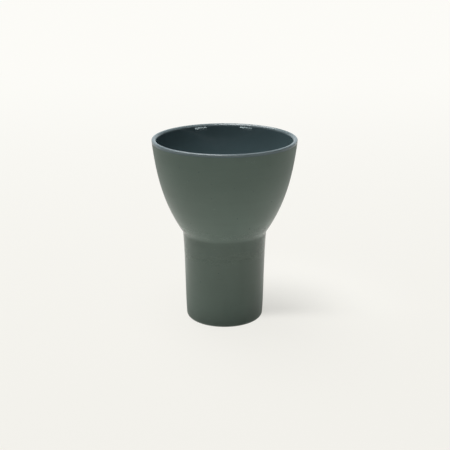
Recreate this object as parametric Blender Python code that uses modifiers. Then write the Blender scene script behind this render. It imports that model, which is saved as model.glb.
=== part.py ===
"""A tall handle-less latte macchiato mug: a flaring bowl that stands on a narrow stem.

Matte dark stoneware outside, glossy dark glaze inside and over the lip. Metres, +Z up.
The origin is the centre of the foot, on the surface that the mug stands on.
"""

import math

import bpy

# Outside shape, measured where the bowl and the stem would meet without the soft crease
HEIGHT = 0.120
RIM_RADIUS = 0.04635
CREASE_HEIGHT = 0.059
CREASE_RADIUS = 0.0271
FOOT_RADIUS = 0.0249

# How far the outside wall leans away from upright at each end of the bowl and of the stem
RIM_LEAN = math.radians(6.5)
BOWL_CREASE_LEAN = math.radians(33.5)
STEM_CREASE_LEAN = math.radians(4.2)
STEM_FOOT_LEAN = math.radians(3.3)

# Soft edges: the crease and the inside shoulder are softened this far above and below the crease,
# and the foot and the flat lip have rounded edges, the lip's being those of its clay plus the coat
CREASE_BLEND = 0.0019
SHOULDER_BLEND = 0.005
FOOT_EDGE_RADIUS = 0.003
CLAY_EDGE_RADIUS = 0.0002

# Wall thickness across the lip and through the stem, glaze included
LIP_WALL = 0.0027
STEM_WALL = 0.0045

# Joints between the fired pieces
JOINT_GAP = 0.0003
SPIGOT_DEPTH = 0.006

# Foot ring and floor
FOOT_RECESS = 0.0025
LEDGE_WIDTH = 0.0034
DISC_THICKNESS = 0.003

# Glaze coat: its thickness, its pooled corner and how far it runs down from the lip's rounded edges
GLAZE_THICKNESS = 0.0004
FLOOR_CORNER_RADIUS = 0.005
LIP_GLAZE_OUTSIDE = 0.001
LIP_GLAZE_INSIDE = 0.0035

# Fineness of the turned surfaces
TURN_STEPS = 48
ARC_STEPS = 4
BOWL_ROWS = 8
BLEND_ROWS = 4
STEM_ROWS = 4
MERGE_DISTANCE = 0.00001
SHARP_ANGLE = math.radians(40)

# Heights and radii that follow from the sizes above
COAT = GLAZE_THICKNESS + JOINT_GAP
LIP_EDGE = CLAY_EDGE_RADIUS + COAT
LIP_BASE = HEIGHT - LIP_EDGE
LIP_OUTER = RIM_RADIUS - LIP_EDGE
LIP_INNER = RIM_RADIUS - LIP_WALL + LIP_EDGE
SPIGOT_END = CREASE_HEIGHT - SPIGOT_DEPTH
DISC_UNDERSIDE = FOOT_RECESS + JOINT_GAP
DISC_TOP = DISC_UNDERSIDE + DISC_THICKNESS
LINING_UNDERSIDE = DISC_TOP + JOINT_GAP
FLOOR_TOP = LINING_UNDERSIDE + GLAZE_THICKNESS
FLOOR_CORNER_TOP = FLOOR_TOP + FLOOR_CORNER_RADIUS
LIP_GLAZE_FOOT = LIP_BASE - LIP_GLAZE_OUTSIDE
LIP_STEP = LIP_GLAZE_FOOT - JOINT_GAP
LIP_GLAZE_END = LIP_BASE - LIP_GLAZE_INSIDE
LINING_TOP = LIP_GLAZE_END - JOINT_GAP

STONEWARE_COLOUR = (0.08, 0.11, 0.09, 1.0)
FLOOR_COLOUR = (0.074, 0.102, 0.084, 1.0)
GLAZE_COLOUR = (0.055, 0.084, 0.091, 1.0)
STONEWARE_ROUGHNESS = 0.72
GLAZE_ROUGHNESS = 0.12


def smooth_curve(height, low, high):
    """Radius at a height on the cubic between two ends, each given as height, radius and slope."""
    low_height, low_radius, low_slope = low
    high_height, high_radius, high_slope = high
    span = high_height - low_height
    t = (height - low_height) / span
    rise = t * t * (3 - 2 * t)
    start_bend = t * (1 - t) ** 2 * span * low_slope
    end_bend = t * t * (t - 1) * span * high_slope
    return low_radius + rise * (high_radius - low_radius) + start_bend + end_bend


def stem_outline(height):
    foot = (0.0, FOOT_RADIUS, math.tan(STEM_FOOT_LEAN))
    crease = (CREASE_HEIGHT, CREASE_RADIUS, math.tan(STEM_CREASE_LEAN))
    return smooth_curve(height, foot, crease)


def bowl_outline(height):
    crease = (CREASE_HEIGHT, CREASE_RADIUS, math.tan(BOWL_CREASE_LEAN))
    rim = (LIP_BASE, RIM_RADIUS, math.tan(RIM_LEAN))
    return smooth_curve(height, crease, rim)


def stem_bore(height):
    return stem_outline(height) - STEM_WALL


def bowl_bore(height):
    share = (height - CREASE_HEIGHT) / (LIP_BASE - CREASE_HEIGHT)
    return bowl_outline(height) - STEM_WALL - share * (LIP_WALL - STEM_WALL)


def blended(height, stem, bowl, reach):
    """Stem curve below the crease, bowl curve above it, and a soft passage within reach of it."""
    low = CREASE_HEIGHT - reach
    high = CREASE_HEIGHT + reach
    if height <= low:
        return stem(height)
    if height >= high:
        return bowl(height)
    step = reach / 100
    low_slope = (stem(low + step) - stem(low - step)) / (2 * step)
    high_slope = (bowl(high + step) - bowl(high - step)) / (2 * step)
    return smooth_curve(height, (low, stem(low), low_slope), (high, bowl(high), high_slope))


def outside(height):
    return blended(height, stem_outline, bowl_outline, CREASE_BLEND)


def inside(height):
    """The glazed inside of the finished mug."""
    return blended(height, stem_bore, bowl_bore, SHOULDER_BLEND)


def clay_inside(height):
    """The bare clay behind the glaze."""
    return inside(height) + COAT


def heights(start, end, rows):
    return [start + (end - start) * row / rows for row in range(rows + 1)]


def wall(radius_at, rows, offset=0.0):
    return [(radius_at(height) + offset, height) for height in rows]


def arc(centre_radius, centre_height, radius, start_degrees, end_degrees):
    points = []
    for step in range(ARC_STEPS + 1):
        angle = math.radians(start_degrees + (end_degrees - start_degrees) * step / ARC_STEPS)
        points.append((centre_radius + radius * math.cos(angle), centre_height + radius * math.sin(angle)))
    return points


def joint_radius():
    """Middle of the clay wall at the crease, where the spigot and its socket meet."""
    return (outside(CREASE_HEIGHT) + clay_inside(CREASE_HEIGHT)) / 2


def bowl_profile():
    """Bowl with its rim stepped back for the lip glaze and a spigot that drops into the stem."""
    spigot_radius = joint_radius() - JOINT_GAP / 2
    seat = CREASE_HEIGHT + JOINT_GAP
    blend_top = CREASE_HEIGHT + CREASE_BLEND
    shoulder_top = CREASE_HEIGHT + SHOULDER_BLEND
    points = arc(LIP_OUTER, LIP_BASE, CLAY_EDGE_RADIUS, 90, 0)
    points += wall(outside, [LIP_STEP], -COAT)
    points += wall(outside, heights(LIP_STEP, blend_top, BOWL_ROWS))
    points += wall(outside, heights(blend_top, seat, BLEND_ROWS)[1:])
    points += [(spigot_radius, seat), (spigot_radius, SPIGOT_END)]
    points += wall(clay_inside, heights(SPIGOT_END, shoulder_top, BLEND_ROWS))
    points += wall(clay_inside, heights(shoulder_top, LIP_BASE, BOWL_ROWS)[1:-1])
    points += arc(LIP_INNER, LIP_BASE, CLAY_EDGE_RADIUS, 180, 90)
    return points


def stem_profile():
    """Tapered tube with a socket at the top, a rounded foot and an inner ledge for the floor disc."""
    socket_radius = joint_radius() + JOINT_GAP / 2
    socket_floor = SPIGOT_END - JOINT_GAP
    blend_end = CREASE_HEIGHT - CREASE_BLEND
    ledge_radius = clay_inside(FOOT_RECESS) - LEDGE_WIDTH
    foot_centre = outside(FOOT_EDGE_RADIUS) - FOOT_EDGE_RADIUS
    points = wall(outside, heights(CREASE_HEIGHT, blend_end, BLEND_ROWS))
    points += wall(outside, heights(blend_end, FOOT_EDGE_RADIUS, STEM_ROWS)[1:-1])
    points += arc(foot_centre, FOOT_EDGE_RADIUS, FOOT_EDGE_RADIUS, 0, -90)
    points += [(ledge_radius, 0.0), (ledge_radius, FOOT_RECESS)]
    points += wall(clay_inside, heights(FOOT_RECESS, socket_floor, STEM_ROWS))
    points += [(socket_radius, socket_floor), (socket_radius, CREASE_HEIGHT)]
    return points


def disc_profile():
    """Floor disc that rests on the ledge inside the stem's foot."""
    radius = clay_inside(DISC_UNDERSIDE) - JOINT_GAP
    return [(0.0, DISC_TOP), (radius, DISC_TOP), (radius, DISC_UNDERSIDE), (0.0, DISC_UNDERSIDE)]


def lining_rows():
    """Heights up the inside wall, closer together where the shoulder bends."""
    shoulder_low = CREASE_HEIGHT - SHOULDER_BLEND
    shoulder_high = CREASE_HEIGHT + SHOULDER_BLEND
    rows = heights(FLOOR_CORNER_TOP, shoulder_low, STEM_ROWS)
    rows += heights(shoulder_low, shoulder_high, BLEND_ROWS)[1:]
    rows += heights(shoulder_high, LINING_TOP, BOWL_ROWS)[1:]
    return rows


def lining_profile():
    """Glaze coat from the floor to just under the lip, thicker where it pooled in the corner."""
    rows = lining_rows()
    corner_centre = inside(FLOOR_CORNER_TOP) - FLOOR_CORNER_RADIUS
    points = [(0.0, FLOOR_TOP)]
    points += arc(corner_centre, FLOOR_CORNER_TOP, FLOOR_CORNER_RADIUS, -90, 0)
    points += wall(inside, rows[1:])
    points += wall(inside, rows[::-1], GLAZE_THICKNESS)
    points += wall(inside, [LINING_UNDERSIDE], GLAZE_THICKNESS)
    points.append((0.0, LINING_UNDERSIDE))
    return points


def lip_glaze_profile():
    """Glaze cap over the flat lip, short on the outside and longer on the inside."""
    inner_edge = LIP_EDGE - GLAZE_THICKNESS
    points = arc(LIP_INNER, LIP_BASE, LIP_EDGE, 180, 90)
    points += arc(LIP_OUTER, LIP_BASE, LIP_EDGE, 90, 0)
    points += wall(outside, [LIP_GLAZE_FOOT])
    points += wall(outside, [LIP_GLAZE_FOOT], -GLAZE_THICKNESS)
    points += arc(LIP_OUTER, LIP_BASE, inner_edge, 0, 90)
    points += arc(LIP_INNER, LIP_BASE, inner_edge, 90, 180)
    points += wall(inside, [LIP_GLAZE_END], GLAZE_THICKNESS)
    points += wall(inside, [LIP_GLAZE_END])
    return points


def ceramic(name, colour, roughness):
    material = bpy.data.materials.new(name)
    material.use_nodes = True
    shader = material.node_tree.nodes["Principled BSDF"]
    shader.inputs["Base Color"].default_value = colour
    shader.inputs["Roughness"].default_value = roughness
    shader.inputs["Metallic"].default_value = 0.0
    return material


def turned(name, profile, closed, material, collection, parent):
    """Turn a profile of radius and height about the mug's axis into one solid piece."""
    points = [(radius, 0.0, height) for radius, height in profile]
    edges = [(index, index + 1) for index in range(len(points) - 1)]
    if closed:
        edges.append((len(points) - 1, 0))
    mesh = bpy.data.meshes.new(name)
    mesh.from_pydata(points, edges, [])
    piece = bpy.data.objects.new(name, mesh)
    collection.objects.link(piece)
    piece.parent = parent
    screw = piece.modifiers.new("Turn", "SCREW")
    screw.axis = "Z"
    screw.steps = TURN_STEPS
    screw.render_steps = TURN_STEPS
    screw.use_merge_vertices = True
    screw.merge_threshold = MERGE_DISTANCE
    bpy.context.view_layer.update()
    evaluated = piece.evaluated_get(bpy.context.evaluated_depsgraph_get())
    piece.data = bpy.data.meshes.new_from_object(evaluated)
    piece.modifiers.clear()
    bpy.data.meshes.remove(mesh)
    piece.data.name = name
    piece.data.materials.append(material)
    piece.data.shade_smooth()
    piece.data.set_sharp_from_angle(angle=SHARP_ANGLE)
    return piece


def main():
    for leftover in list(bpy.data.objects):
        bpy.data.objects.remove(leftover, do_unlink=True)

    collection = bpy.data.collections.new("latte_macchiato_mug")
    bpy.context.scene.collection.children.link(collection)
    mug = bpy.data.objects.new("mug_axis", None)
    collection.objects.link(mug)

    bowl_clay = ceramic("bowl_stoneware", STONEWARE_COLOUR, STONEWARE_ROUGHNESS)
    stem_clay = ceramic("stem_stoneware", STONEWARE_COLOUR, STONEWARE_ROUGHNESS)
    floor_clay = ceramic("floor_stoneware", FLOOR_COLOUR, STONEWARE_ROUGHNESS)
    lining_glaze = ceramic("lining_gloss", GLAZE_COLOUR, GLAZE_ROUGHNESS)
    lip_gloss = ceramic("lip_gloss", GLAZE_COLOUR, GLAZE_ROUGHNESS)

    turned("bowl", bowl_profile(), True, bowl_clay, collection, mug)
    turned("stem", stem_profile(), True, stem_clay, collection, mug)
    turned("base_disc", disc_profile(), False, floor_clay, collection, mug)
    turned("glaze_lining", lining_profile(), False, lining_glaze, collection, mug)
    turned("lip_glaze", lip_glaze_profile(), True, lip_gloss, collection, mug)


main()
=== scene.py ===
import math

import bmesh
import bpy
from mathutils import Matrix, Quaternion, Vector, noise


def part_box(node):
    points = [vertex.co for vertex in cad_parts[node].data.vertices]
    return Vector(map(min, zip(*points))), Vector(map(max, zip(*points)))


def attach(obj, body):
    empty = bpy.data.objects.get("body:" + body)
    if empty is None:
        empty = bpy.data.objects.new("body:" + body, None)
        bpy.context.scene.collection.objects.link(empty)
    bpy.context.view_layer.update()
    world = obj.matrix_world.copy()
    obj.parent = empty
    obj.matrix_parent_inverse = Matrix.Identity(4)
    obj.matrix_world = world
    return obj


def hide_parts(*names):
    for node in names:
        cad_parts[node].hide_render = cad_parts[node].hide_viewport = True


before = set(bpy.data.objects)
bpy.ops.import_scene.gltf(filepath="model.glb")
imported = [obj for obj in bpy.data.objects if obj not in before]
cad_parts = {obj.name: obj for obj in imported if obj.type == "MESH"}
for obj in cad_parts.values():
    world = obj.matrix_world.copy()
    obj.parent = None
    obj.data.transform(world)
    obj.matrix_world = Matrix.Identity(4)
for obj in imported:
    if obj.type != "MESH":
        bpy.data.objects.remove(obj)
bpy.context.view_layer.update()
print("frame loaded:", ", ".join(sorted(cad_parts)))

mm = 0.001
scene = bpy.context.scene
scene.view_settings.view_transform = "Standard"

# camera: the photo's viewing angle, found from the rim, the crease and the foot
cameraSetup = {
    "distance": 638 * mm,     # from the mug's axis, along the table
    "height": 262.2 * mm,
    "pitch": 17.412,          # degrees below level
    "lens": 82.15,
    "sensor": 36.0,
    "sideways": 0.26 * mm,    # the mug stands this far left of the frame's middle
    "clip": (0.01, 50),       # nearest and farthest that is drawn
}


def makeCamera(setup):
    data = bpy.data.cameras.new("photo_camera")
    data.sensor_width = setup["sensor"]
    data.lens = setup["lens"]
    data.clip_start, data.clip_end = setup["clip"]
    camera = bpy.data.objects.new("photo_camera", data)
    camera.location = (setup["sideways"], -setup["distance"], setup["height"])
    camera.rotation_euler = (math.radians(90 - setup["pitch"]), 0, 0)
    scene.collection.objects.link(camera)
    scene.camera = camera


makeCamera(cameraSetup)
print("camera placed")

# outline of the mug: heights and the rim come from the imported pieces, other radii and leans are
# those of the solids, and only the lip and the crease are set a little differently
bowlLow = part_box("bowl")[0]
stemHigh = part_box("stem")[1]
discLow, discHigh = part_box("base_disc")
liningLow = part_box("glaze_lining")[0]
lipLow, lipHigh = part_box("lip_glaze")

mugShape = {
    "height": lipHigh.z,
    "rimRadius": lipHigh.x,
    "creaseHeight": stemHigh.z,
    "creaseRadius": 27.1 * mm,
    "footRadius": 24.9 * mm,
    "rimLean": 6.5,           # degrees away from upright
    "bowlCreaseLean": 33.5,
    "stemCreaseLean": 4.2,
    "stemFootLean": 3.3,
    "creaseBlend": 1.4 * mm,
    "shoulderBlend": 5.0 * mm,
    "lipWall": 2.9 * mm,
    "lipEdge": 0.9 * mm,      # the lip is cut flat and its edges are sponged round, more so inside
    "lipInnerEdge": 1.7 * mm,
    "stemWall": 4.5 * mm,
    "coat": 0.4 * mm,         # glaze thickness
    "glazeStep": 2.5 * mm,    # the lip glaze ends this much higher outside than inside
    "jointGap": 0.3 * mm,
}
crease = mugShape["creaseHeight"]
coat = mugShape["coat"]
lipEdge = mugShape["lipEdge"]
innerEdge = mugShape["lipInnerEdge"]
lipBase = mugShape["height"] - lipEdge
lipOuter = mugShape["rimRadius"] - lipEdge
glazeFoot = lipLow.z + mugShape["glazeStep"]    # outer edge of the lip glaze
glazeEnd = lipLow.z                             # its inner edge, where the lining takes over


def smoothCurve(z, low, high):
    # cubic between two ends, each given as height, radius and slope
    span = high[0] - low[0]
    t = (z - low[0]) / span
    rise = t * t * (3 - 2 * t)
    bend = t * (1 - t) ** 2 * span * low[2] + t * t * (t - 1) * span * high[2]
    return low[1] + rise * (high[1] - low[1]) + bend


def slope(degrees):
    return math.tan(math.radians(degrees))


def stemOuter(z):
    foot = (0, mugShape["footRadius"], slope(mugShape["stemFootLean"]))
    top = (crease, mugShape["creaseRadius"], slope(mugShape["stemCreaseLean"]))
    return smoothCurve(z, foot, top)


def bowlOuter(z):
    bottom = (crease, mugShape["creaseRadius"], slope(mugShape["bowlCreaseLean"]))
    rim = (lipBase, mugShape["rimRadius"], slope(mugShape["rimLean"]))
    return smoothCurve(z, bottom, rim)


def stemInner(z):
    return stemOuter(z) - mugShape["stemWall"]


def bowlInner(z):
    share = (z - crease) / (lipBase - crease)
    return bowlOuter(z) - mugShape["stemWall"] - share * (mugShape["lipWall"] - mugShape["stemWall"])


def softened(z, stem, bowl, reach):
    low, high = crease - reach, crease + reach
    if z <= low:
        return stem(z)
    if z >= high:
        return bowl(z)
    step = reach / 100    # short enough to read the slopes at both ends
    lowSlope = (stem(low + step) - stem(low - step)) / (2 * step)
    highSlope = (bowl(high + step) - bowl(high - step)) / (2 * step)
    return smoothCurve(z, (low, stem(low), lowSlope), (high, bowl(high), highSlope))


def outerRadius(z):
    return softened(z, stemOuter, bowlOuter, mugShape["creaseBlend"])


def innerRadius(z):
    return softened(z, stemInner, bowlInner, mugShape["shoulderBlend"])


# the inner edge rolls off the leaning inside wall without a step
innerLean = math.degrees(math.atan((bowlInner(lipBase) - bowlInner(lipBase - mm)) / mm))
innerBase = mugShape["height"] - innerEdge * (1 - math.sin(math.radians(innerLean)))
lipInner = innerRadius(innerBase) + innerEdge * math.cos(math.radians(innerLean))
lipTurn = mugShape["height"] - innerEdge


def rowsBetween(start, end, spacing):
    count = max(1, round(abs(end - start) / spacing))
    return [start + (end - start) * i / count for i in range(count + 1)]


def wallPoints(radiusAt, rows, offset=0.0):
    return [(radiusAt(z) + offset, z) for z in rows]


def arcPoints(centreR, centreZ, radius, startDeg, endDeg, count):
    points = []
    for i in range(count + 1):
        angle = math.radians(startDeg + (endDeg - startDeg) * i / count)
        points.append((centreR + radius * math.cos(angle), centreZ + radius * math.sin(angle)))
    return points


# turning: how fine the turned surfaces are, and how far hand finishing leaves them uneven
turning = {
    "segments": 224,
    "underSteps": 4,              # along each clay edge under the lip glaze, in both pieces
    "mergeDistance": 0.002 * mm,
    "mostPoints": 100000,         # more than any piece has
    "sharpAngle": 40,             # degrees, edges that bend more stay crisp
    "axisReach": 1.0 * mm,        # points this close to the axis stay in place
    "wobble": 0.05 * mm,          # not quite a true circle
    "wobbleScale": (28, 16),      # noise cells in a metre, across and upwards
    "wobbleStart": 3.7,
    "glazeWave": 0.16 * mm,       # the wiped edge of the glaze below the lip wanders by this much
    "glazeWaveReach": 0.9 * mm,
    "glazeWaves": ((90, 1.3, 1.0), (260, 7.1, 0.5)),    # scale, height in the noise, share
}


def handShift(x, y, z):
    # slow waves of a surface sponged by hand, the same for every wall and coat
    across, upwards = turning["wobbleScale"]
    spot = Vector((x * across, y * across, z * upwards + turning["wobbleStart"]))
    return turning["wobble"] * noise.noise(spot)


def glazeShift(x, y, z, r):
    # the wiped glaze edge wanders up and down around the outside of the lip
    near = max(0.0, 1 - abs(z - glazeFoot) / turning["glazeWaveReach"])
    outside = 1 if r > lipOuter - lipEdge else 0
    wave = 0.0
    for scale, level, share in turning["glazeWaves"]:
        wave += share * noise.noise(Vector((x * scale, y * scale, level)))
    return turning["glazeWave"] * near * outside * wave


def faceOrder(face):
    # a number of its own for each face, from its three lowest points
    first, second, third = sorted(v.index for v in face.verts)[:3]
    return (first * turning["mostPoints"] + second) * turning["mostPoints"] + third


def turnPiece(name, profile, closed):
    bm = bmesh.new()
    verts = [bm.verts.new((r, 0, z)) for r, z in profile]
    edges = [bm.edges.new(pair) for pair in zip(verts, verts[1:])]
    if closed:
        edges.append(bm.edges.new((verts[-1], verts[0])))
    bmesh.ops.spin(bm, geom=verts + edges, cent=(0, 0, 0), axis=(0, 0, 1),
                   angle=2 * math.pi, steps=turning["segments"], use_merge=True)
    bmesh.ops.remove_doubles(bm, verts=bm.verts, dist=turning["mergeDistance"])
    bmesh.ops.recalc_face_normals(bm, faces=bm.faces)
    bm.verts.index_update()
    bm.faces.sort(key=faceOrder)    # spinning leaves them in another order on each run
    for v in bm.verts:
        r = math.hypot(v.co.x, v.co.y)
        if r > turning["axisReach"]:
            push = 1 + handShift(*v.co) / r
            lift = glazeShift(*v.co, r)
            v.co.x *= push
            v.co.y *= push
            v.co.z += lift
    mesh = bpy.data.meshes.new(name)
    bm.to_mesh(mesh)
    bm.free()
    mesh.shade_smooth()
    mesh.set_sharp_from_angle(angle=math.radians(turning["sharpAngle"]))
    piece = bpy.data.objects.new(name, mesh)
    scene.collection.objects.link(piece)
    return piece


def dressPiece(piece, material, slotName, *nodes):
    piece.data.materials.append(material)
    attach(piece, "root")
    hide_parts(*nodes)
    print("piece made:", piece.name, len(piece.data.vertices), "points")


# shader helpers: a value is either a number, a colour or another node's output
def feed(tree, socket, value):
    if isinstance(value, bpy.types.NodeSocket):
        tree.links.new(value, socket)
    else:
        socket.default_value = value


def maths(tree, operation, first, second=0.0, clamp=False):
    node = tree.nodes.new("ShaderNodeMath")
    node.operation = operation
    node.use_clamp = clamp
    feed(tree, node.inputs[0], first)
    feed(tree, node.inputs[1], second)
    return node.outputs["Value"]


def times(tree, first, second):
    return maths(tree, "MULTIPLY", first, second)


def plus(tree, first, second):
    return maths(tree, "ADD", first, second)


def minus(tree, first, second):
    return maths(tree, "SUBTRACT", first, second)


def nearness(tree, distance, reach):
    # 1 in the middle, 0 from the reach outwards
    return maths(tree, "SUBTRACT", 1.0, maths(tree, "DIVIDE", distance, reach), clamp=True)


def ramped(tree, value, fromLow, fromHigh, toLow=0.0, toHigh=1.0, smooth=False):
    node = tree.nodes.new("ShaderNodeMapRange")
    node.interpolation_type = "SMOOTHSTEP" if smooth else "LINEAR"
    for label, item in (("Value", value), ("From Min", fromLow), ("From Max", fromHigh),
                        ("To Min", toLow), ("To Max", toHigh)):
        feed(tree, node.inputs[label], item)
    return node.outputs["Result"]


def swing(tree, value, limits):
    # the middle stretch of a noise, spread out from -1 to 1
    return ramped(tree, value, *limits, -1, 1)


def mixColours(tree, share, first, second, mode="MIX"):
    node = tree.nodes.new("ShaderNodeMix")
    node.data_type = "RGBA"
    node.blend_type = mode
    feed(tree, node.inputs["Factor"], share)
    colourIn = [s for s in node.inputs if s.type == "RGBA"]
    feed(tree, colourIn[0], first)
    feed(tree, colourIn[1], second)
    return [s for s in node.outputs if s.type == "RGBA"][0]


def shaded(tree, colour, factor):
    # colour times a grey factor
    grey = tree.nodes.new("ShaderNodeCombineColor")
    for label in ("Red", "Green", "Blue"):
        feed(tree, grey.inputs[label], factor)
    return mixColours(tree, 1.0, colour, grey.outputs["Color"], "MULTIPLY")


def objectPlace(tree, stretch=(1, 1, 1)):
    place = tree.nodes.new("ShaderNodeTexCoord")
    mapping = tree.nodes.new("ShaderNodeMapping")
    mapping.inputs["Scale"].default_value = stretch
    tree.links.new(place.outputs["Object"], mapping.inputs["Vector"])
    return mapping.outputs["Vector"]


def placeAlong(tree, axis):
    split = tree.nodes.new("ShaderNodeSeparateXYZ")
    tree.links.new(objectPlace(tree), split.inputs["Vector"])
    return split.outputs[axis]


def radiusAcross(tree):
    node = tree.nodes.new("ShaderNodeVectorMath")
    node.operation = "LENGTH"
    tree.links.new(objectPlace(tree, (1, 1, 0)), node.inputs[0])
    return node.outputs["Value"]


def noiseAt(tree, place, scale, detail, roughness):
    node = tree.nodes.new("ShaderNodeTexNoise")
    feed(tree, node.inputs["Vector"], place)
    feed(tree, node.inputs["Scale"], scale)
    node.inputs["Detail"].default_value = detail
    node.inputs["Roughness"].default_value = roughness
    return node.outputs["Fac"]


def dotsAt(tree, place, share, scale, size, smallest=0.45, softness=0.5):
    # scattered round dots: a share of the cells holds one, from the smallest part of the size upwards
    node = tree.nodes.new("ShaderNodeTexVoronoi")
    feed(tree, node.inputs["Vector"], place)
    feed(tree, node.inputs["Scale"], scale)
    split = tree.nodes.new("ShaderNodeSeparateColor")
    tree.links.new(node.outputs["Color"], split.inputs["Color"])
    chosen = maths(tree, "LESS_THAN", split.outputs["Red"], share)
    width = times(tree, ramped(tree, split.outputs["Green"], 0, 1, smallest, 1), size)
    inside = nearness(tree, node.outputs["Distance"], width)
    return times(tree, chosen, ramped(tree, inside, 0, softness, smooth=True))


def newGroup(name, inputs, outputs):
    group = bpy.data.node_groups.new(name, "ShaderNodeTree")
    for label, kind, value in inputs:
        socket = group.interface.new_socket(label, in_out="INPUT", socket_type="NodeSocket" + kind)
        socket.default_value = value
    for label, kind in outputs:
        group.interface.new_socket(label, in_out="OUTPUT", socket_type="NodeSocket" + kind)
    entry = group.nodes.new("NodeGroupInput")
    exitNode = group.nodes.new("NodeGroupOutput")
    return group, entry.outputs, exitNode.inputs


def placeGroup(tree, group, values):
    node = tree.nodes.new("ShaderNodeGroup")
    node.node_tree = group
    for label, value in values.items():
        feed(tree, node.inputs[label], value)
    return node.outputs


def newMaterial(name):
    material = bpy.data.materials.new(name)
    material.use_nodes = True
    tree = material.node_tree
    return material, tree, tree.nodes["Principled BSDF"]


def bumped(tree, shader, height, distance, strength):
    bump = tree.nodes.new("ShaderNodeBump")
    bump.inputs["Distance"].default_value = distance
    bump.inputs["Strength"].default_value = strength
    feed(tree, bump.inputs["Height"], height)
    tree.links.new(bump.outputs["Normal"], shader.inputs["Normal"])


# clay surface: slow mottling, faint bands from the wheel, fine grain and mineral dots
claySurface = {
    "clouds": (38, 3, 0.55),        # noises: scale, detail and roughness
    "bands": (1.0, 2, 0.5),
    "grain": (2300, 3, 0.65),
    "bandStretch": (7, 7, 420),     # flat bands around the axis
    "cloudShare": 0.7,
    "bandShare": 0.3,
    "mottleLimits": (0.3, 0.7),
    "grainLimits": (0.25, 0.75),
    "paleDots": (620, 0.26),        # cells in a metre, largest dot as a share of a cell
    "darkDots": (480, 0.3),
    "darkStretch": (1.07, 0.94, 1.02),   # keeps the two kinds of dots from lining up
    "grainRoughness": 0.5,
    "mottleRoughness": 0.4,
    "darkRoughness": 0.15,
    "bandHeight": 0.15,
    "pitDepth": 0.5,
}


def makeClayGrain(surface):
    tree, given, out = newGroup("clay_grain", [
        ("Colour", "Color", (0.08, 0.1, 0.09, 1)),
        ("Pale dot", "Color", (0.2, 0.2, 0.18, 1)),
        ("Dark dot", "Color", (0.02, 0.02, 0.02, 1)),
        ("Mottle", "Float", 0.1),
        ("Grain", "Float", 0.1),
        ("Dot share", "Float", 0.05),
        ("Roughness", "Float", 0.6),
    ], [("Colour", "Color"), ("Roughness", "Float"), ("Height", "Float")])
    place = objectPlace(tree)
    clouds = noiseAt(tree, place, *surface["clouds"])
    bands = noiseAt(tree, objectPlace(tree, surface["bandStretch"]), *surface["bands"])
    grain = noiseAt(tree, place, *surface["grain"])
    cloudPart = times(tree, clouds, surface["cloudShare"])
    wide = plus(tree, cloudPart, times(tree, bands, surface["bandShare"]))
    wideShare = times(tree, swing(tree, wide, surface["mottleLimits"]), given["Mottle"])
    fineShare = times(tree, swing(tree, grain, surface["grainLimits"]), given["Grain"])
    factor = plus(tree, 1.0, plus(tree, wideShare, fineShare))
    colour = shaded(tree, given["Colour"], factor)
    pale = dotsAt(tree, place, given["Dot share"], *surface["paleDots"])
    darkPlace = objectPlace(tree, surface["darkStretch"])
    dark = dotsAt(tree, darkPlace, given["Dot share"], *surface["darkDots"])
    colour = mixColours(tree, pale, colour, given["Pale dot"])
    colour = mixColours(tree, dark, colour, given["Dark dot"])
    feed(tree, out["Colour"], colour)
    rough = plus(tree, given["Roughness"], times(tree, fineShare, surface["grainRoughness"]))
    rough = minus(tree, rough, times(tree, wideShare, surface["mottleRoughness"]))
    rough = minus(tree, rough, times(tree, dark, surface["darkRoughness"]))
    feed(tree, out["Roughness"], rough)
    ripple = plus(tree, times(tree, bands, surface["bandHeight"]), grain)
    pits = times(tree, dark, -surface["pitDepth"])
    feed(tree, out["Height"], plus(tree, ripple, pits))
    return tree


# band around the mug, broken up unevenly: hands, cloths and shelves wear it smoother, and the same band
# lays a painted highlight along the crease, painted shade at the foot and the pale lip edge
bandBreakup = {
    "cloud": (170, 3, 0.6),         # noise: scale, detail and roughness
    "cloudStretch": (1, 1, 2.5),
    "cloudLimits": (0.3, 0.7),
}


def makeWearAndLightBand(surface):
    tree, given, out = newGroup("wear_and_light_band", [
        ("Middle", "Float", 0.0),
        ("Reach", "Float", 0.001),
        ("Softness", "Float", 1.0),
        ("Patches", "Float", 0.6),
        ("Amount", "Float", 0.5),
    ], [("Mask", "Float")])
    away = maths(tree, "ABSOLUTE", minus(tree, placeAlong(tree, "Z"), given["Middle"]))
    near = nearness(tree, away, given["Reach"])
    cloud = noiseAt(tree, objectPlace(tree, surface["cloudStretch"]), *surface["cloud"])
    patches = ramped(tree, cloud, *surface["cloudLimits"], minus(tree, 1.0, given["Patches"]), 1)
    mask = times(tree, ramped(tree, near, 0, given["Softness"], smooth=True), patches)
    feed(tree, out["Mask"], times(tree, mask, given["Amount"]))
    return tree


# gloss coat: darker where it is thick, paler where it is thin, with an uneven skin and pinholes; it is
# also coloured paler lower down the inside wall, as painted light
glazeSurface = {
    "flow": (55, 3, 0.5),           # noises: scale, detail and roughness
    "skin": (420, 2, 0.4),
    "flowStretch": (1, 1, 0.4),     # drawn out downwards
    "flowLimits": (0.35, 0.7),
    "pinholes": (0.03, 260, 0.09),  # share of the cells, cells in a metre, largest hole in a cell
    "pinholeShade": 0.5,
    "pinholeRoughness": 0.3,
}


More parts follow.
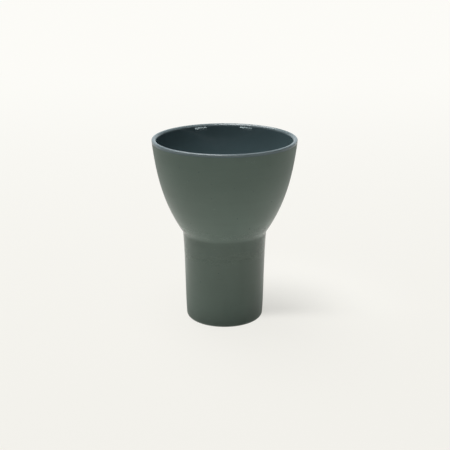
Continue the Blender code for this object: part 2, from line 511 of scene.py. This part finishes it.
def makeGlazeDepthAndLight(surface):
    tree, given, out = newGroup("glaze_depth_and_light", [
        ("Thick", "Color", (0.02, 0.03, 0.04, 1)),
        ("Thin", "Color", (0.05, 0.07, 0.08, 1)),
        ("Painted light from", "Float", 0.12),
        ("Painted light full", "Float", 0.1),
        ("Unevenness", "Float", 0.3),
        ("Roughness", "Float", 0.06),
        ("Thin roughness", "Float", 0.1),
    ], [("Colour", "Color"), ("Roughness", "Float"), ("Height", "Float")])
    place = objectPlace(tree)
    flow = noiseAt(tree, objectPlace(tree, surface["flowStretch"]), *surface["flow"])
    skin = noiseAt(tree, place, *surface["skin"])
    # painted light: the coat is coloured paler from the first height down to the second, standing in for
    # light on the lower inside wall
    paintedLightLower = ramped(tree, placeAlong(tree, "Z"), given["Painted light from"], given["Painted light full"], smooth=True)
    spread = times(tree, swing(tree, flow, surface["flowLimits"]), given["Unevenness"])
    thin = maths(tree, "ADD", paintedLightLower, spread, clamp=True)
    holes = dotsAt(tree, place, *surface["pinholes"])
    colour = mixColours(tree, thin, given["Thick"], given["Thin"])
    shade = minus(tree, 1.0, times(tree, holes, surface["pinholeShade"]))
    feed(tree, out["Colour"], shaded(tree, colour, shade))
    rough = plus(tree, given["Roughness"], times(tree, thin, given["Thin roughness"]))
    rough = plus(tree, rough, times(tree, holes, surface["pinholeRoughness"]))
    feed(tree, out["Roughness"], rough)
    feed(tree, out["Height"], minus(tree, skin, holes))
    return tree


clayGrain = makeClayGrain(claySurface)
wearAndLightBand = makeWearAndLightBand(bandBreakup)
glazeDepthAndLight = makeGlazeDepthAndLight(glazeSurface)
print("finish groups made")

# matte stoneware of the bowl and the stem, left bare outside, with a painted highlight at the crease and
# painted shade at the foot; the bands are values for wear_and_light_band
bodyClay = {
    "colour": (0.108, 0.161, 0.137, 1),
    "paleDot": (0.158, 0.21, 0.187, 1),
    "darkDot": (0.082, 0.125, 0.114, 1),
    "mottle": 0.05,
    "grain": 0.05,
    "dotShare": 0.05,
    "roughness": 0.54,
    "glossTint": (1.0, 0.94, 0.86, 1),
    # painted highlight: a paler band along the crease, standing in for the light line there
    "creaseHighlight": (0.165, 0.22, 0.195, 1),
    "creaseBand": {"Middle": crease, "Reach": 1.6 * mm, "Patches": 0.1, "Amount": 0.16},
    "footShadeColour": (0.07, 0.11, 0.095, 1),   # painted shade: the foot is coloured darker, standing in for the table's contact shade
    "footBand": {"Middle": 0.0, "Reach": 16 * mm, "Patches": 0.2, "Amount": 0.58},
    "handBand": {"Middle": 55 * mm, "Reach": 60 * mm, "Patches": 0.04, "Amount": 0.29},   # worn smooth
    "grainHeight": 0.03 * mm,
    "grainStrength": 0.18,
}


def makeClay(name, finish, withWearAndLight=True):
    material, tree, shader = newMaterial(name)
    grain = placeGroup(tree, clayGrain, {
        "Colour": finish["colour"], "Pale dot": finish["paleDot"], "Dark dot": finish["darkDot"],
        "Mottle": finish["mottle"], "Grain": finish["grain"], "Dot share": finish["dotShare"],
        "Roughness": finish["roughness"],
    })
    colour, rough = grain["Colour"], grain["Roughness"]
    if withWearAndLight:
        # painted highlight: paler along the crease
        creaseHighlightMask = placeGroup(tree, wearAndLightBand, finish["creaseBand"])["Mask"]
        # painted shade: darker towards the foot
        footShade = placeGroup(tree, wearAndLightBand, finish["footBand"])["Mask"]
        polish = placeGroup(tree, wearAndLightBand, finish["handBand"])["Mask"]
        colour = mixColours(tree, creaseHighlightMask, colour, finish["creaseHighlight"])
        colour = mixColours(tree, footShade, colour, finish["footShadeColour"])
        rough = minus(tree, rough, polish)
    shader.inputs["Specular Tint"].default_value = finish["glossTint"]
    feed(tree, shader.inputs["Base Color"], colour)
    feed(tree, shader.inputs["Roughness"], rough)
    bumped(tree, shader, grain["Height"], finish["grainHeight"], finish["grainStrength"])
    return material


bodyMaterial = makeClay("matte_stoneware", bodyClay)

# underside of the floor: the same clay, scraped and a little drier
floorClay = dict(bodyClay, colour=(0.108, 0.158, 0.14, 1), mottle=0.09, grain=0.09, roughness=0.6)
floorMaterial = makeClay("scraped_stoneware", floorClay, withWearAndLight=False)

# gloss glaze: one coat over the lining and the lip, where its edge breaks to a pale satin blue grey; the
# pale colour is partly the thin glaze and partly painted reflection of the bright light above and behind
glazeFinish = {
    # the thin colour is the thin coat's and also serves as painted light lower down the lining
    "thick": (0.082, 0.123, 0.133, 1),
    "thin": (0.109, 0.163, 0.177, 1),
    "paintedLightFrom": 119 * mm,   # painted light: the coat is coloured paler from here downwards
    "paintedLightFull": 100 * mm,
    "unevenness": 0.08,
    "roughness": 0.02,
    "thinRoughness": 0.14,    # added where the coat is thin
    "skinHeight": 0.02 * mm,
    "skinStrength": 0.02,
}
lipBreakAndReflection = {
    # pale break: partly the thin glaze edge and partly painted reflection of the bright light above and
    # behind
    "colour": (0.163, 0.206, 0.218, 1),
    "wiped": (0.085, 0.14, 0.158, 1),   # outside, where so little is left that the clay shows
    "roughness": 0.2,         # added to the coat's own
    "wipedRoughness": 0.35,
    "satinFrom": 0.4,         # share of the pale break from which it turns satin
    "reachOutside": 1.65 * mm,   # below the top of the lip
    "reachInside": 1.75 * mm,
    "softness": 0.35,
    "patches": 0.12,
}


def makeGlaze(name, finish, lip=None):
    material, tree, shader = newMaterial(name)
    glaze = placeGroup(tree, glazeDepthAndLight, {
        "Thick": finish["thick"], "Thin": finish["thin"],
        "Painted light from": finish["paintedLightFrom"], "Painted light full": finish["paintedLightFull"],
        "Unevenness": finish["unevenness"], "Roughness": finish["roughness"],
        "Thin roughness": finish["thinRoughness"],
    })
    colour, rough = glaze["Colour"], glaze["Roughness"]
    if lip:
        across = ramped(tree, radiusAcross(tree), lipInner, lipOuter)
        reach = ramped(tree, across, 0, 1, lip["reachInside"], lip["reachOutside"])
        colour = mixColours(tree, across, colour, lip["wiped"])
        rough = plus(tree, rough, times(tree, across, lip["wipedRoughness"]))
        # pale lip edge: partly the glaze breaking thin, partly painted reflection
        mask = placeGroup(tree, wearAndLightBand, {
            "Middle": mugShape["height"], "Reach": reach, "Softness": lip["softness"],
            "Patches": lip["patches"], "Amount": 1.0,
        })["Mask"]
        colour = mixColours(tree, mask, colour, lip["colour"])
        rough = ramped(tree, mask, lip["satinFrom"], 1, rough, finish["roughness"] + lip["roughness"])
    feed(tree, shader.inputs["Base Color"], colour)
    feed(tree, shader.inputs["Roughness"], rough)
    bumped(tree, shader, glaze["Height"], finish["skinHeight"], finish["skinStrength"])
    return material


liningMaterial = makeGlaze("gloss_glaze", glazeFinish)
lipMaterial = makeGlaze("gloss_lip_glaze", glazeFinish, lipBreakAndReflection)
print("materials made")

# bowl: bare clay outside, stepped back under the lip glaze, with a spigot that drops into the stem
jointRadius = (outerRadius(crease) + innerRadius(crease) + coat) / 2
bowlShape = {
    "clayEdge": lipEdge - coat,
    "spigotRadius": jointRadius - mugShape["jointGap"] / 2,
    "spigotEnd": bowlLow.z,
    "seatSlope": 0.1 * mm,    # the seat rises inwards, so that only its outer ring touches the stem
    "wallRow": 0.8 * mm,
    "creaseRow": 0.1 * mm,
    "insideRow": 2.0 * mm,
}


def bowlProfile(shape):
    blendTop = crease + mugShape["creaseBlend"]
    steps = turning["underSteps"]
    inside = rowsBetween(shape["spigotEnd"], innerBase, shape["insideRow"])
    points = arcPoints(lipOuter, lipBase, shape["clayEdge"], 90, 0, steps)
    points += wallPoints(outerRadius, [glazeFoot], -coat)
    points += wallPoints(outerRadius, rowsBetween(glazeFoot, blendTop, shape["wallRow"]))
    points += wallPoints(outerRadius, rowsBetween(blendTop, crease, shape["creaseRow"])[1:])
    points += [(shape["spigotRadius"], crease + shape["seatSlope"])]
    points += [(shape["spigotRadius"], shape["spigotEnd"])]
    points += wallPoints(innerRadius, inside, coat)
    points += arcPoints(lipInner, lipTurn, innerEdge - coat, 180 - innerLean, 90, steps)[1:]
    return points


bowl = turnPiece("bowl_clay", bowlProfile(bowlShape), True)
dressPiece(bowl, bodyMaterial, "body_stoneware", "bowl")

# stem: tapered tube with a socket at the top, a rounded foot and an inner ledge
stemShape = {
    "socketRadius": jointRadius + mugShape["jointGap"] / 2,
    "socketFloor": bowlLow.z - mugShape["jointGap"],
    "footEdge": 3.0 * mm,
    "footSteps": 14,
    "ledgeWidth": 3.4 * mm,
    "ledgeTop": discLow.z - mugShape["jointGap"],
    "ledgeChamfer": 0.5 * mm,
    "chamferSteps": 5,
    "wallRow": 0.8 * mm,
    "creaseRow": 0.1 * mm,
    "insideRow": 4.0 * mm,
}


def stemProfile(shape):
    blendEnd = crease - mugShape["creaseBlend"]
    footEdge = shape["footEdge"]
    chamfer = shape["ledgeChamfer"]
    ledgeRadius = innerRadius(shape["ledgeTop"]) + coat - shape["ledgeWidth"]
    inside = rowsBetween(shape["ledgeTop"], shape["socketFloor"], shape["insideRow"])
    points = wallPoints(outerRadius, rowsBetween(crease, blendEnd, shape["creaseRow"]))
    points += wallPoints(outerRadius, rowsBetween(blendEnd, footEdge, shape["wallRow"])[1:-1])
    points += arcPoints(outerRadius(footEdge) - footEdge, footEdge, footEdge, 0, -90, shape["footSteps"])
    points += arcPoints(ledgeRadius + chamfer, chamfer, chamfer, -90, -180, shape["chamferSteps"])
    points += [(ledgeRadius, shape["ledgeTop"])]
    points += wallPoints(innerRadius, inside, coat)
    points += [(shape["socketRadius"], shape["socketFloor"]), (shape["socketRadius"], crease)]
    return points


stem = turnPiece("stem_clay", stemProfile(stemShape), True)
dressPiece(stem, bodyMaterial, "body_stoneware", "stem")

# floor disc: scraped underside with the rings that a turning tool leaves
discShape = {
    "radius": discHigh.x,
    "edge": 0.5 * mm,
    "edgeSteps": 4,
    "ringPitch": 1.3 * mm,
    "ringDepth": 0.05 * mm,
    "ringRow": 0.16 * mm,
}


def discProfile(shape):
    edge = shape["edge"]
    flatEnd = shape["radius"] - edge
    points = [(0, discHigh.z), (flatEnd / 2, discHigh.z)]
    points += arcPoints(flatEnd, discHigh.z - edge, edge, 90, 0, shape["edgeSteps"])
    points += arcPoints(flatEnd, discLow.z + edge, edge, 0, -90, shape["edgeSteps"])
    for r in rowsBetween(flatEnd, 0, shape["ringRow"])[1:]:
        wave = 0.5 - 0.5 * math.cos(2 * math.pi * r / shape["ringPitch"])
        points.append((r, discLow.z + shape["ringDepth"] * wave))
    return points


disc = turnPiece("floor_disc", discProfile(discShape), False)
dressPiece(disc, floorMaterial, "floor_stoneware", "base_disc")

# lining: gloss coat from the floor up to the lip glaze, pooled in the corner of the floor
liningShape = {
    "floorTop": liningLow.z + coat,
    "corner": 5.0 * mm,
    "cornerSteps": 14,
    "pool": 0.12 * mm,        # the floor dips this much towards its middle
    "wallRow": 1.0 * mm,
    "backRow": 4.0 * mm,
}


def liningProfile(shape):
    corner = shape["corner"]
    cornerTop = shape["floorTop"] + corner
    cornerCentre = innerRadius(cornerTop) - corner
    points = []
    for r in rowsBetween(0, cornerCentre, shape["wallRow"])[:-1]:
        points.append((r, shape["floorTop"] - shape["pool"] * (1 - (r / cornerCentre) ** 2) ** 2))
    points += arcPoints(cornerCentre, cornerTop, corner, -90, 0, shape["cornerSteps"])
    points += wallPoints(innerRadius, rowsBetween(cornerTop, glazeEnd, shape["wallRow"])[1:])
    points += wallPoints(innerRadius, rowsBetween(glazeEnd, cornerTop, shape["backRow"]), coat)
    points += wallPoints(innerRadius, [liningLow.z], coat)
    points += [(0, liningLow.z)]
    return points


lining = turnPiece("inside_glaze", liningProfile(liningShape), False)
dressPiece(lining, liningMaterial, "gloss_glaze", "glaze_lining")

# lip glaze: the coat over the flat lip, down to its wiped edge outside and to the lining inside
lipShape = {
    "edgeSteps": 10,
    "flatSteps": 4,
    "wallRow": 0.3 * mm,
}


def lipProfile(shape):
    steps = turning["underSteps"]
    flat = rowsBetween(lipInner, lipOuter, (lipOuter - lipInner) / shape["flatSteps"])
    points = wallPoints(innerRadius, rowsBetween(glazeEnd, innerBase, shape["wallRow"]))
    points += arcPoints(lipInner, lipTurn, innerEdge, 180 - innerLean, 90, shape["edgeSteps"])[1:]
    points += [(r, mugShape["height"]) for r in flat[1:-1]]
    points += arcPoints(lipOuter, lipBase, lipEdge, 90, 0, shape["edgeSteps"])
    points += wallPoints(outerRadius, rowsBetween(lipBase, glazeFoot, shape["wallRow"])[1:])
    points += wallPoints(outerRadius, [glazeFoot], -coat)
    points += arcPoints(lipOuter, lipBase, lipEdge - coat, 0, 90, steps)
    points += arcPoints(lipInner, lipTurn, innerEdge - coat, 90, 180 - innerLean, steps)
    points += wallPoints(innerRadius, [glazeEnd], coat)
    return points


lip = turnPiece("lip_glaze_coat", lipProfile(lipShape), True)
dressPiece(lip, lipMaterial, "gloss_glaze", "lip_glaze")

# table: pale, paler towards the back; close to the mug its right side keeps more of the shadow
tableTop = {
    "size": 9.0,
    "drop": 0.02 * mm,        # a hair below the foot, so the two faces never coincide
    "near": (0.888, 0.876, 0.83, 1),
    "far": (0.975, 0.967, 0.93, 1),
    "paleDepth": (-0.25, 1.0),      # the table pales from here to there
    "liftShade": 0.56,        # share of the table's own colour that the camera sees unshaded, on
    "liftLit": 0.92,          # the shaded right of the mug, on the other sides and far away
    "liftFar": 1.0,
    "shadeRight": (-0.005, 0.02),   # the shaded side begins here, to the right of the axis
    "shadeBack": (-0.012, 0.012),   # and here, towards the back
    "shadeFade": (0.16, 0.06),      # gone this far from the axis, full within the second distance
}


def tableMaterial(setup):
    material, tree, shader = newMaterial("pale_table")
    tree.nodes.remove(shader)
    right = ramped(tree, placeAlong(tree, "X"), *setup["shadeRight"], smooth=True)
    back = ramped(tree, placeAlong(tree, "Y"), *setup["shadeBack"], smooth=True)
    near = ramped(tree, radiusAcross(tree), *setup["shadeFade"], smooth=True)
    shade = times(tree, times(tree, right, back), near)
    depth = ramped(tree, placeAlong(tree, "Y"), *setup["paleDepth"], smooth=True)
    lift = ramped(tree, shade, 0, 1, setup["liftLit"], setup["liftShade"])
    lift = ramped(tree, depth, 0, 1, lift, setup["liftFar"])
    path = tree.nodes.new("ShaderNodeLightPath")
    seen = maths(tree, "MAXIMUM", path.outputs["Is Camera Ray"], path.outputs["Is Glossy Ray"])
    seen = maths(tree, "MAXIMUM", seen, path.outputs["Is Transmission Ray"])
    colour = mixColours(tree, depth, setup["near"], setup["far"])
    diffuse = tree.nodes.new("ShaderNodeBsdfDiffuse")
    glow = tree.nodes.new("ShaderNodeEmission")
    feed(tree, diffuse.inputs["Color"], colour)
    feed(tree, glow.inputs["Color"], colour)
    mix = tree.nodes.new("ShaderNodeMixShader")
    feed(tree, mix.inputs["Fac"], times(tree, seen, lift))
    tree.links.new(diffuse.outputs["BSDF"], mix.inputs[1])
    tree.links.new(glow.outputs["Emission"], mix.inputs[2])
    tree.links.new(mix.outputs["Shader"], tree.nodes["Material Output"].inputs["Surface"])
    return material


def makeTable(setup):
    mesh = bpy.data.meshes.new("table")
    bm = bmesh.new()
    bmesh.ops.create_grid(bm, x_segments=1, y_segments=1, size=setup["size"] / 2)
    bm.to_mesh(mesh)
    bm.free()
    mesh.materials.append(tableMaterial(setup))
    table = bpy.data.objects.new("table", mesh)
    table.location.z = -setup["drop"]
    scene.collection.objects.link(table)


# room: dim all around, with a low white sweep behind the table
room = {
    "colour": (0.9, 0.985, 1.04, 1),
    "side": 0.015,
    "frontLow": 0.01,               # on the camera's side, low down and high up
    "frontHigh": 0.015,
    "sweep": 0.85,
    "frontHeights": (0.1, 0.5),     # limits, as parts of a direction of length 1
    "sideDepths": (-0.7, 0.3),
    "sweepDepths": (0.5, 0.85),
    "sweepHeights": (0.45, 0.25),
}


def makeRoom(setup):
    world = bpy.data.worlds.new("dim_room")
    scene.world = world
    world.use_nodes = True
    tree = world.node_tree
    place = tree.nodes.new("ShaderNodeTexCoord")
    split = tree.nodes.new("ShaderNodeSeparateXYZ")
    tree.links.new(place.outputs["Generated"], split.inputs["Vector"])
    backwards, upwards = split.outputs["Y"], split.outputs["Z"]
    front = ramped(tree, upwards, *setup["frontHeights"],
                   setup["frontLow"], setup["frontHigh"], smooth=True)
    behind = ramped(tree, backwards, *setup["sideDepths"], smooth=True)
    level = ramped(tree, behind, 0, 1, front, setup["side"])
    sweepWide = ramped(tree, backwards, *setup["sweepDepths"], smooth=True)
    sweepTall = ramped(tree, upwards, *setup["sweepHeights"], smooth=True)
    level = ramped(tree, times(tree, sweepWide, sweepTall), 0, 1, level, setup["sweep"])
    sky = tree.nodes["Background"]
    sky.inputs["Color"].default_value = setup["colour"]
    feed(tree, sky.inputs["Strength"], level)


# lamps: softboxes above and behind, and a thin strip on either side for the glints under the far rim
lampAim = (0, 0, 0.06)
softboxes = {
    "overhead_softbox": {"place": (-0.15, -0.09, 1.2), "size": (0.6, 0.6), "power": 11.0},
    "rear_softbox": {"place": (-0.33, 0.5, 1.1), "size": (0.6, 0.6), "power": 7.5},
}
strips = {
    "power": 0.115,
    "angles": (-37.5, 42.4),    # degrees to either side of the camera
    "heights": (0.2172, 0.211),
    "distance": 1.6,
    "size": (0.6, 0.005),
    "tilt": 2.7,                # their outer ends hang lower, in degrees
    "colour": (0.82, 0.97, 1.0),
}


def makeLamp(name, place, size, power, tilt=0.0, colour=(1, 1, 1)):
    data = bpy.data.lights.new(name, "AREA")
    data.shape = "RECTANGLE"
    data.size, data.size_y = size
    data.energy = power
    data.color = colour
    lamp = bpy.data.objects.new(name, data)
    lamp.location = place
    facing = (Vector(lampAim) - Vector(place)).to_track_quat("-Z", "Y")
    lamp.rotation_euler = (facing @ Quaternion((0, 0, 1), math.radians(tilt))).to_euler()
    scene.collection.objects.link(lamp)


def makeStrips(setup):
    for side, degrees, height in zip(("left", "right"), setup["angles"], setup["heights"]):
        turn = math.radians(degrees)
        reach = setup["distance"]
        spot = (reach * math.sin(turn), -reach * math.cos(turn), height)
        tilt = -math.copysign(setup["tilt"], degrees)
        makeLamp(side + "_strip", spot, setup["size"], setup["power"], tilt, setup["colour"])


makeTable(tableTop)
makeRoom(room)
for name, softbox in softboxes.items():
    makeLamp(name, **softbox)
makeStrips(strips)
print("table and lights placed")
